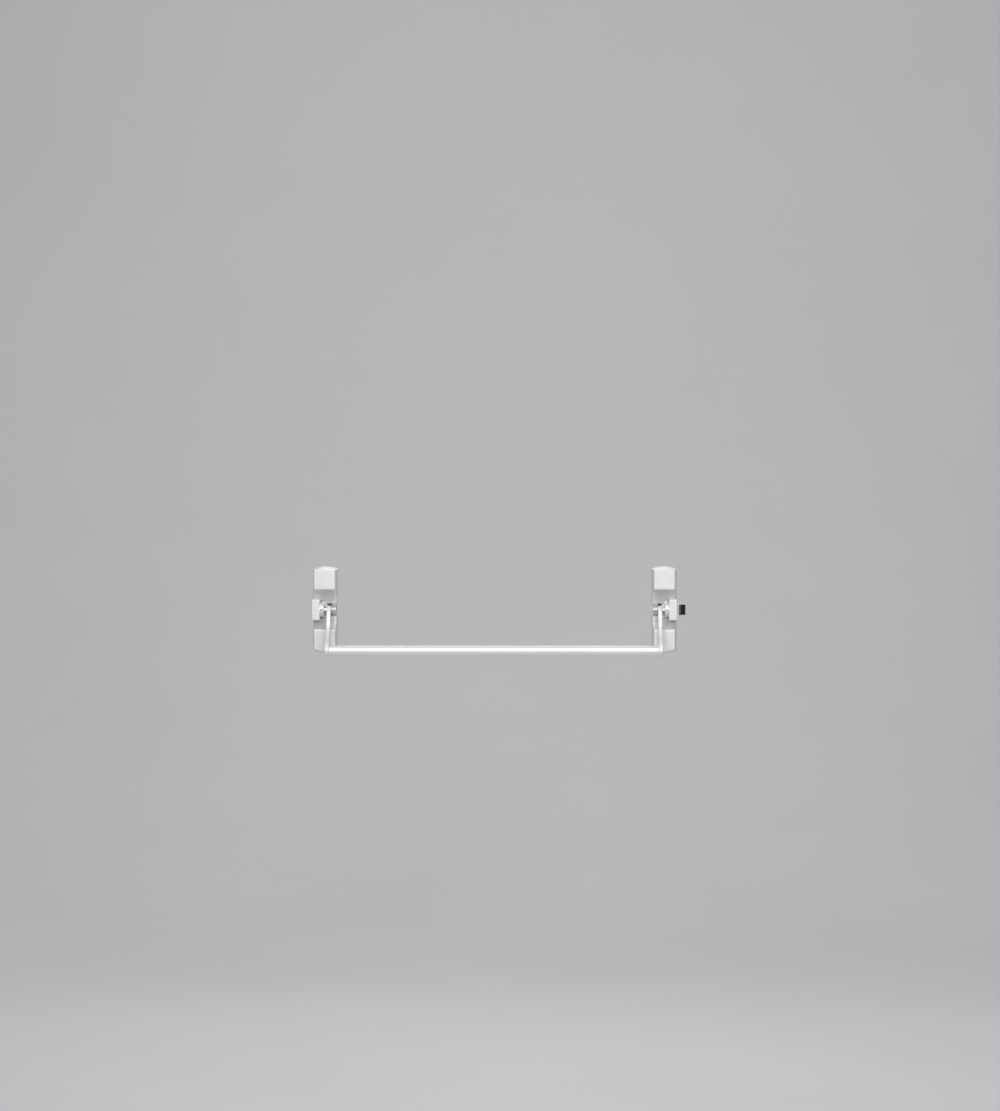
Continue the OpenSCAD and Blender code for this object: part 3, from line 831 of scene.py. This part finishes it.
def bearing_block(side):
    """Block with rounded room-side edges, bored for the axle and the cup."""
    bm = sharp_box(BLOCK_U0, BLOCK_U1, PLATE_T, BLOCK_D, 2 * BLOCK_Z)
    room_side = [e for e in bm.edges if min(v.co.y for v in e.verts) < -BLOCK_D + 1]
    bmesh.ops.bevel(bm, geom=room_side, offset=2.2, segments=7, profile=0.5,
                    affect="EDGES")
    shape = linked(cleaned(bm))
    tools = [stepped_bore("x", AXLE, [(BLOCK_U0 - 1, CUP_U1, CUP_R + 0.02),
                                      (CUP_U1, 26, 8.02)], 96)]
    tools += [rod("d", (20, 0, z), 0, 13, 2.5 + FIT) for z in (-19.5, 19.5)]
    if side > 0:
        latch_way = (NOSE_D0 - SLACK, NOSE_D1 + SLACK, 2 * (LATCH_Z + SLACK))
        guide_seat = (GUIDE_D0 - 0.1, GUIDE_D1 + 0.1, 2 * (GUIDE_Z + 0.2))
        tools.append(slab(BLOCK_U0 - 1, BLOCK_U1 + 9, *latch_way))
        tools.append(slab(BLOCK_U0 - 1, BLOCK_U0 + 9.2, 1, 13, 29))
        tools.append(slab(BLOCK_U1 - 2, BLOCK_U1 + 1, *guide_seat))
        tools += [rod("x", (0, y, z), 22, 32, 1.5 + FIT) for y, z in GUIDE_SCREWS]
    return softened(cut(shape, *tools), 0.25)


def inner_bearing():
    """Lug on its pedestal, with the two pins that hold the buffers."""
    lug = lathe(filleted([(LUG_U0, 7.6, 0.4), (LUG_U0, LUG_R, 1.2), (LUG_U1, LUG_R, 0.5),
                          (LUG_U1, 6.02, 0.2), (-26.3, 6.02), (-26.3, 7.6)]),
                "x", AXLE, 96)
    outline = []
    for sign in (1, -1):
        half = [(-PLATE_T, 14.5), (-18, 14.5, 4), (-26, LUG_R + 0.4, 6),
                (-AXLE_D, LUG_R - 0.5)]
        outline.append([(p[0], sign * p[1], *p[2:]) for p in half])
    loop = filleted(outline[0] + outline[1][::-1])
    foot = extruded([loop], -27.2, -20, 0.8, "x", 3)
    foot = cut(foot, rod("x", AXLE, LUG_U0, LUG_U1, LUG_R - 0.9, steps=96))
    pins = [rod("x", at, -21, PINS_U1, BUFFER_PIN_R, 0.3, 32) for at in BUFFERS]
    shape = joined(lug, foot, *pins)
    return cut(shape, *[rod("d", (-23.2, 0, z), 0, 12, 2 + FIT) for z in (-8.5, 8.5)])


def bushes():
    """Flanged bush in the lug and plain bush in the block."""
    bore = JOURNAL_IN + FIT
    flange = LUG_U1 + 0.8
    inner = lathe(filleted([(-26.2, bore, 0.2), (-26.2, 6, 0.2), (LUG_U1, 6),
                            (LUG_U1, 8.5, 0.15), (flange, 8.5, 0.25),
                            (flange, bore, 0.25)]), "x", AXLE, 72)
    bore = JOURNAL_OUT + FIT
    outer = lathe(filleted([(12, bore, 0.3), (12, 8, 0.3), (25.8, 8, 0.3),
                            (25.8, bore, 0.3)]), "x", AXLE, 72)
    return together(inner, outer)


def spring_cup():
    """Turned cup with a closed end towards the arm and a slit for the spring's leg."""
    cup = lathe(filleted([(CUP_U0, 6.6, 0.4), (CUP_U0, CUP_R, 1.5), (CUP_U1, CUP_R, 0.2),
                          (CUP_U1, CUP_R - 2.5, 0.2), (CUP_U0 + 2, CUP_R - 2.5, 0.8),
                          (CUP_U0 + 2, 6.6, 0.2)], 6), "x", AXLE, 128)
    slit = extruded([rectangle(CUP_U0 + 2, CUP_U0 + 9, -0.95, 0.95, 0.9)],
                    AXLE_D + CUP_R - 4, AXLE_D + CUP_R + 1, 0, "d")
    return softened(cut(cup, slit), 0.2)


def buffers():
    """Rubber sleeves on the lug's pins."""
    bore, outer = BUFFER_PIN_R + FIT, 3.5
    profile = filleted([(-15.5, bore, 0.3), (-15.5, outer, 0.8), (-6.5, outer, 0.8),
                        (-6.5, bore, 0.3)])
    return together(*[lathe(profile, "x", at, 48) for at in BUFFERS])


def eased(path, corner):
    """A path with one sharp corner replaced by a short curve."""
    before, here, after = (Vector(path[i]) for i in (corner - 1, corner, corner + 1))
    start, end = (before + here) / 2, (here + after) / 2
    bend = []
    for k in range(7):
        t = k / 6
        bend.append(start * (1 - t) ** 2 + here * 2 * t * (1 - t) + end * t ** 2)
    return path[:corner] + bend + path[corner + 1:]


SPRING_U0, SPRING_U1 = 3.9, 8.9


def return_spring():
    """Torsion spring: its outer leg stands in the cup's slit, its inner in the axle."""
    coil, turns, steps = 10.5, 2.25, 90
    path = [Vector((SPRING_U0, -AXLE_D - coil - reach, 0)) for reach in (6, 3)]
    for i in range(steps + 1):
        a = radians(90 - 360 * turns * i / steps)
        path.append(Vector((SPRING_U0 + (SPRING_U1 - SPRING_U0) * i / steps,
                            -AXLE_D - coil * sin(a), coil * cos(a))))
    path += [path[-1] - Vector((0, 0, drop)) for drop in (3.5, 6)]
    path = eased(path, len(path) - 3)
    return wire(eased(path, 2), 0.8)


def cover_screws():
    """Pan-head screws in the covers' ends."""
    screw = lathe(filleted([(TAB_Z - TAB_T - 4, 0), (TAB_Z - TAB_T - 4, 2, 0.5),
                            (SEAT_Z, 2), (SEAT_Z, 3.8, 0.3), (SEAT_Z + 2.4, 3.8, 1.7),
                            (SEAT_Z + 2.4, 0)], 6), "z", COVER_SCREW, 64)
    screw = cut(screw, *cross_recess("z", (0, -SCREW_D, SEAT_Z + 2.4), 4.2, 1.4, -1))
    return together(screw, mirrored_z(screw))


def chassis_screws():
    """Countersunk screws through the plate's back into the castings."""
    screws = []
    for u, z, r, length in CHASSIS_SCREWS:
        screw = lathe(filleted([(0.1, 0), (0.1, 2 * r - 0.1, 0.15), (r, r),
                                (length, r, 0.5), (length, 0)]), "d", (u, 0, z), 64)
        screws.append(cut(screw, *cross_recess("d", (u, -0.1, z), 1.9 * r, 0.5 * r, 1)))
    return together(*screws)


# ---- moving bar

def axle():
    """Axle with its clip groove, its square for the arm, neck and outer journal."""
    inner = lathe(filleted([(-28.2, 0), (-28.2, JOURNAL_IN, 0.5), (-27.5, JOURNAL_IN),
                            (-27.5, 3.2), (-26.45, 3.2), (-26.45, JOURNAL_IN),
                            (ARM_U0 + 0.1, JOURNAL_IN), (ARM_U0 + 0.1, 0)]), "x", AXLE)
    outer = lathe(filleted([(ARM_U1, 0), (ARM_U1, NECK_R, 0.2), (CUP_U0 - 0.1, NECK_R),
                            (CUP_U0 - 0.1, JOURNAL_OUT, 0.2), (24.5, JOURNAL_OUT, 0.8),
                            (24.5, 0)]), "x", AXLE, 96)
    half = SQUARE / 2
    square = extruded([rectangle(-half, half, -half, half, 0.4)], ARM_U0, ARM_U1 + 0.1,
                      0.15, "x")
    square.data.transform(Matrix.Translation(AXLE) @ Matrix.Rotation(REST_ANGLE, 4, "X"))
    shape = joined(outer, square, inner)
    return cut(shape, rod("z", (SPRING_U1, -AXLE_D, 0), JOURNAL_IN, JOURNAL_OUT + 3, 1))


def axle_clip():
    """Open ring sprung into the axle's groove."""
    outer_r, inner_r, half_gap = 6.4, 3.25, 2.4
    a, b = (degrees(asin(half_gap / r)) for r in (outer_r, inner_r))
    loop = (arc(-AXLE_D, 0, outer_r, 90 + a, 450 - a, 48)
            + arc(-AXLE_D, 0, inner_r, 450 - b, 90 + b, 32))
    return extruded([loop], -27.4, -26.6, 0.12, "x")


def lever_loop():
    """The lever hanging straight down from the axle: hub, waisted shank and round end."""
    back_cut, back_t = 187.0, 6.0  # door side's large radius and waist
    front_cut, front_t = 172.0, 5.5  # room side's

    def flank(z):
        return HUB_R + (ARM_END_R - HUB_R) * -z / ARM_LENGTH

    def back(z):
        centre = 4 - ARM_LENGTH / 2
        cut_x = back_t + back_cut - sqrt(back_cut ** 2 - (z - centre) ** 2)
        return min(flank(z), cut_x)

    def front(z):
        centre = 6 - ARM_LENGTH / 2
        cut_x = -front_t - front_cut + sqrt(front_cut ** 2 - (z - centre) ** 2)
        return max(-flank(z), cut_x)

    steps = 40
    levels = [-ARM_LENGTH * k / steps for k in range(1, steps)]
    return (arc(0, 0, HUB_R, 0, 180, 28) + [(front(z), z) for z in levels]
            + arc(0, -ARM_LENGTH, ARM_END_R, 180, 360, 36)
            + [(back(z), z) for z in reversed(levels)])


def arm():
    """Cast arm: lever with rounded rims, finger, spigot and square hole."""
    axis = Matrix.Translation(AXLE)
    lever = extruded([lever_loop()], ARM_U0, ARM_U1, 1.7, "x", 4)
    lever.data.transform(axis @ Matrix.Rotation(-REST_ANGLE, 4, "X"))
    loop = [(0, -FINGER_R), *arc(FINGER_REACH, 0, FINGER_R, -90, 90, 20), (0, FINGER_R)]
    finger = extruded([loop], ARM_U0 + 1, ARM_U1 - 1, 0.9, "x", 3)
    finger.data.transform(axis @ Matrix.Rotation(-FINGER_ANGLE, 4, "X"))
    spigot = rod("x", (0, -BAR_D, BAR_Z), ARM_U0 - SPIGOT, ARM_U0 + 2,
                 BAR_R - BAR_WALL - FIT, 1.0, 64)
    half = SQUARE / 2 + FIT
    hole = extruded([rectangle(-half, half, -half, half)], ARM_U0 - 1, ARM_U1 + 1, 0, "x")
    hole.data.transform(axis @ Matrix.Rotation(REST_ANGLE, 4, "X"))
    bore = rod("d", (ARM_U0 - 12, 0, BAR_Z), BAR_D - 2 * BAR_R, BAR_D - 5, 2.5 + FIT)
    return cut(joined(lever, finger, spigot), hole, bore)


def cross_bar():
    """Round tube with eased ends and a hole for each set screw."""
    bore = BAR_R - BAR_WALL
    tube = lathe(filleted([(BAR_X0, bore, 0.25), (BAR_X0, BAR_R, 0.5),
                           (BAR_X1, BAR_R, 0.5), (BAR_X1, bore, 0.25)]),
                 "x", (0, -BAR_D, BAR_Z), 128)
    return cut(tube, *[rod("d", (x, 0, BAR_Z), BAR_D - BAR_R - 2, BAR_D - 6, 2.5 + FIT)
                       for x in (-SET_SCREW_X, SET_SCREW_X)])


def bar_set_screws():
    """Socket set screws on the tube's door side."""
    screws = []
    for x in (-SET_SCREW_X, SET_SCREW_X):
        mouth = BAR_D - BAR_R + 0.5
        screw = lathe(filleted([(mouth, 0), (mouth, 2.5, 0.4), (BAR_D - 5.5, 2.5, 0.4),
                                (BAR_D - 5.5, 0)]), "d", (x, 0, BAR_Z))
        socket = extruded([circle(x, BAR_Z, 1.45, 6)], mouth - 1, mouth + 2, 0, "d")
        screws.append(cut(screw, socket))
    return together(*screws)


# ---- latch

def latch_bolt():
    """Black latch: bevelled nose on its room side, stepped down to a narrow tail."""
    tail_d1 = 16.0
    bevel = NOSE_D1 - NOSE_D0 - 4
    side_view = [(26, NOSE_D0), (NOSE_U1 - 1, NOSE_D0, 0.6), (NOSE_U1, NOSE_D0 + 1, 0.6),
                 (NOSE_U1, NOSE_D0 + 3.4, 0.5), (NOSE_U1 - 0.6, NOSE_D1 - bevel, 0.6),
                 (NOSE_U1 - 0.6 - bevel, NOSE_D1, 2.5), (26, NOSE_D1)]
    loop = filleted([(p[0], -p[1], *p[2:]) for p in side_view])
    nose = extruded([loop], -LATCH_Z, LATCH_Z, 0.6, "z", 3)
    tail = extruded([rectangle(10, 30, -tail_d1, -NOSE_D0, 0.5)], -8, 8, 0.4)
    shoulder = extruded([rectangle(20, 30, -tail_d1, -NOSE_D0, 0.5)], -LATCH_Z, LATCH_Z, 0.4)
    hole = rod("d", (PIN_U, 0, 0), NOSE_D0 - 1, tail_d1 - 2, PIN_R + FIT)
    return cut(joined(nose, tail, shoulder), hole)


def latch_pin():
    """The pin in the latch's tail that runs in the slide plate's inclined slot."""
    return rod("d", (PIN_U, 0, 0), SLIDE_D0 - 0.4, 13.5, PIN_R, 0.4)


def latch_guide():
    """Collar round the nose on a flange let into the block."""
    window = rectangle(-NOSE_D1 - SLACK, -NOSE_D0 + SLACK, -LATCH_Z - SLACK,
                       LATCH_Z + SLACK, 0.6)
    plate = rectangle(-GUIDE_D1, -GUIDE_D0, -GUIDE_Z, GUIDE_Z, 2)
    rim = rectangle(-GUIDE_D1, -GUIDE_D0, -LATCH_Z - 2.9, LATCH_Z + 2.9, 2)
    holes = [circle(y, z, 1.6, 32) for y, z in GUIDE_SCREWS]
    flange = extruded([plate, window] + holes, BLOCK_U1 - 1.9, BLOCK_U1, 0.25, "x")
    collar = extruded([rim, window], BLOCK_U1 - 1.6, GUIDE_U1, 0.6, "x", 3)
    sinks = [lathe([(BLOCK_U1 - 1, 0), (BLOCK_U1 - 1, 1.6), (BLOCK_U1 + 0.2, 2.6),
                    (BLOCK_U1 + 0.2, 0)], "x", (0, y, z), 32) for y, z in GUIDE_SCREWS]
    return cut(joined(flange, collar), *sinks)


def latch_guide_screws():
    """Countersunk screws that hold the guide to the block."""
    head = BLOCK_U1 - 0.1
    profile = filleted([(head - 7, 0), (head - 7, 1.5, 0.3), (head - 0.9, 1.5),
                        (head, 2.3, 0.1), (head, 0)])
    screws = []
    for y, z in GUIDE_SCREWS:
        screw = lathe(profile, "x", (0, y, z), 40)
        recess = cross_recess("x", (head, y, z), 2.6, 0.7, -1)
        screws.append(cut(screw, *recess))
    return together(*screws)


def latch_slide():
    """Slide plate: finger window, inclined slot, two guide slots and a folded top."""
    outline = filleted([(-18.5, -22, 2), (9.4, -22, 2), (9.4, -9, 1), (18.6, -9, 2),
                        (18.6, 5, 2), (9.4, 5, 1), (9.4, 24, 1), (7, 24, 1), (7, SLIDE_TOP),
                        (-7, SLIDE_TOP), (-7, 24, 3), (-18.5, 24, 2)])
    loops = [outline, rectangle(-15.6, -6.4, -17.5, -0.4, 0.8),
             slot_loop((PIN_U, 0), (PIN_U - THROW, -LIFT), PIN_SLOT_R)]
    loops += [slot_loop((u, z + 0.2), (u, z - LIFT - 0.2), PIN_SLOT_R) for u, z in POSTS]
    plate = extruded(loops, SLIDE_D0, SLIDE_D1, 0.3, "d")
    flap = rectangle(-6, 6, -SPRING_D - 4.5, -SLIDE_D0, 1)
    fold = extruded([flap, circle(0, -SPRING_D, 2.6)], SLIDE_TOP - 2, SLIDE_TOP, 0.3)
    return joined(plate, fold)


def slide_posts():
    """Shouldered, riveted posts for the slide plate."""
    under, over, flange_r = SLIDE_D0 - 0.2, SLIDE_D1 + 0.2, 4.6
    profile = filleted([(0.2, 0), (0.2, 2), (PLATE_T, 2), (PLATE_T, flange_r, 0.2),
                        (under, flange_r, 0.2), (under, PIN_R), (over, PIN_R),
                        (over, flange_r, 0.2), (over + 1.5, flange_r, 0.9),
                        (over + 1.5, 0)])
    return together(*[lathe(profile, "d", (u, 0, z)) for u, z in POSTS])


def spring_rod():
    """Headed rod that hangs from the plate's tab through the slide spring."""
    low, high, radius, head_r = 63.2, SPRING_TAB_Z + 1.6, 2.2, 3.6
    profile = filleted([(low, 0), (low, radius, 0.5), (SPRING_TAB_Z, radius),
                        (SPRING_TAB_Z, head_r, 0.2), (high, head_r, 0.8), (high, 0)])
    return lathe(profile, "z", (0, -SPRING_D, 0))


SLIDE_WIRE = 0.5
SLIDE_SPRING_Z0 = SLIDE_TOP + 0.6
SLIDE_SPRING_Z1 = SPRING_TAB_Z - TAB_T - 0.6


def slide_spring():
    """Compression spring between the slide's fold and the plate's tab."""
    coil, turns, steps = 3.7, 6, 168
    path = []
    for i in range(steps + 1):
        a = 2 * pi * turns * i / steps
        path.append((coil * cos(a), -SPRING_D + coil * sin(a),
                     SLIDE_SPRING_Z0 + (SLIDE_SPRING_Z1 - SLIDE_SPRING_Z0) * i / steps))
    return wire(path, SLIDE_WIRE)


# ---- assembly

FIXED, MOVING = "cases", "push_bar"
PAIRED = [
    (base_plate, PLATED, FIXED),
    (bearing_block, CAST, FIXED),
    (inner_bearing, ZINC, FIXED),
    (bushes, BRONZE, FIXED),
    (spring_cup, CAST, FIXED),
    (buffers, RUBBER, FIXED),
    (cover_screws, PLATED, FIXED),
    (chassis_screws, PLATED, FIXED),
    (axle, PLATED, MOVING),
    (axle_clip, SPRING, MOVING),
    (arm, CAST, MOVING),
]
SIDED = (base_plate, bearing_block)  # these differ from side to side
SINGLE = [
    (latch_slide, PLATED, "latch_slide_body"),
    (latch_bolt, BLACK, "latch_bolt_body"),
    (latch_pin, PLATED, "latch_bolt_body"),
    (latch_guide, ZINC, FIXED),
    (latch_guide_screws, PLATED, FIXED),
    (slide_posts, PLATED, FIXED),
    (spring_rod, PLATED, FIXED),
]


def build_side(side_name, side):
    """Every piece of one end case and its arm."""
    for make, look, body in PAIRED:
        kind = make.__name__
        shape = make(side) if make in SIDED else make()
        place(shape, f"{kind}_{side_name}", look, body, [f"{side_name}_{kind}"], side)
    cover = upper_cover()
    lower = mirrored_z(cover)
    for which, shape in (("upper", cover), ("lower", lower)):
        place(shape, f"{which}_cover_{side_name}", PAINT, FIXED,
              [f"{side_name}_{which}_cover"], side)
    spring = place(return_spring(), f"return_spring_{side_name}", SPRING, None,
                   [f"{side_name}_return_spring"], side)
    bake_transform(spring)


def build_bar_and_latch():
    """The tube with its screws, and the latch with its slide."""
    place(cross_bar(), "push_bar_tube", TUBE, MOVING, ["cross_bar"], middle=0)
    place(bar_set_screws(), "set_screws", BLACK, MOVING,
          ["bar_set_screws"], middle=0)
    for make, look, body in SINGLE:
        kind = make.__name__
        place(make(), f"{kind}_piece", look, body, [kind])
    spring = place(slide_spring(), "slide_spring_piece", SPRING, FIXED,
                   ["slide_spring"])
    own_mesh(spring)


for case_name, case_side in SIDES:
    build_side(case_name, case_side)
build_bar_and_latch()


# ---- stage

def softbox(name, where, towards, width, height, power):
    """A rectangular area light aimed at a point."""
    light = with_settings(bpy.data.lights.new(name, "AREA"), shape="RECTANGLE",
                          size=width, size_y=height, energy=power)
    obj = linked(light, name)
    obj.location = where
    obj.rotation_euler = (Vector(towards) - Vector(where)).to_track_quat("-Z", "Y").to_euler()


def sweep_profile():
    """The floor's side view (y, z): level, then a wide curve up to an upright wall."""
    level, wall_y, bend, top = -1.5, 8.0, 4.0, 10.0
    return [(-60.0, level), *arc(wall_y - bend, level + bend, bend, -90, 0, 24),
            (wall_y, top)]


def build_floor():
    """A pale floor that curves up behind the object, far outside the frame's sides."""
    half = 60.0
    bm = bmesh.new()
    rows = [[bm.verts.new((x, y, z)) for x in (-half, half)] for y, z in sweep_profile()]
    for (left, right), (next_left, next_right) in zip(rows, rows[1:]):
        bm.faces.new((left, right, next_right, next_left)).smooth = True
    floor = linked(mesh_of(bm), "floor")
    look = Look("floor_paint", metallic=0.0)
    cloud = look.cloud(1.2, 3, 0, 1)
    colour = look.mixed(cloud, grey(0.76), grey(0.78))
    floor.data.materials.append(look.done(colour, look.ranged(cloud, 0, 1, 0.7, 0.8)))


def build_lights():
    """Soft lights round the object, one on the backdrop, and a pale surround."""
    softbox("key", (0.0, -1.35, 1.6), (0, -0.04, 0), 2.0, 0.8, 19)
    softbox("front", (0.1, -3.6, 0.9), (0, 0, 0), 2.4, 1.2, 46)
    softbox("rear", (0.3, 2.6, 1.7), (0, 0, 0), 2.4, 1.0, 20)
    softbox("backdrop", (0, 2.2, 3.6), (0, 7.5, -0.5), 5.0, 1.5, 80)
    world = bpy.data.worlds.new("surround")
    world.use_nodes = True
    background = world.node_tree.nodes["Background"]
    background.inputs["Color"].default_value = (0.94, 0.96, 1.0, 1)
    background.inputs["Strength"].default_value = 0.38
    bpy.context.scene.world = world
    bpy.context.scene.view_settings.view_transform = "Standard"


def build_camera():
    """A level camera well back, looking at the middle of the frame."""
    distance, right = 6.5, 0.14
    centre, height = 0.013, 0.130  # what stands in the middle of the frame
    frame_height = 2.672  # what the long side shows at the door
    camera = bpy.data.cameras.new("camera")
    camera.sensor_width = 36
    camera.lens = camera.sensor_width * distance / frame_height
    obj = linked(camera, "camera")
    obj.location = (right, -distance, height)
    obj.rotation_euler = (pi / 2, 0, atan((right - centre) / distance))
    bpy.context.scene.camera = obj


build_floor()
build_lights()
build_camera()
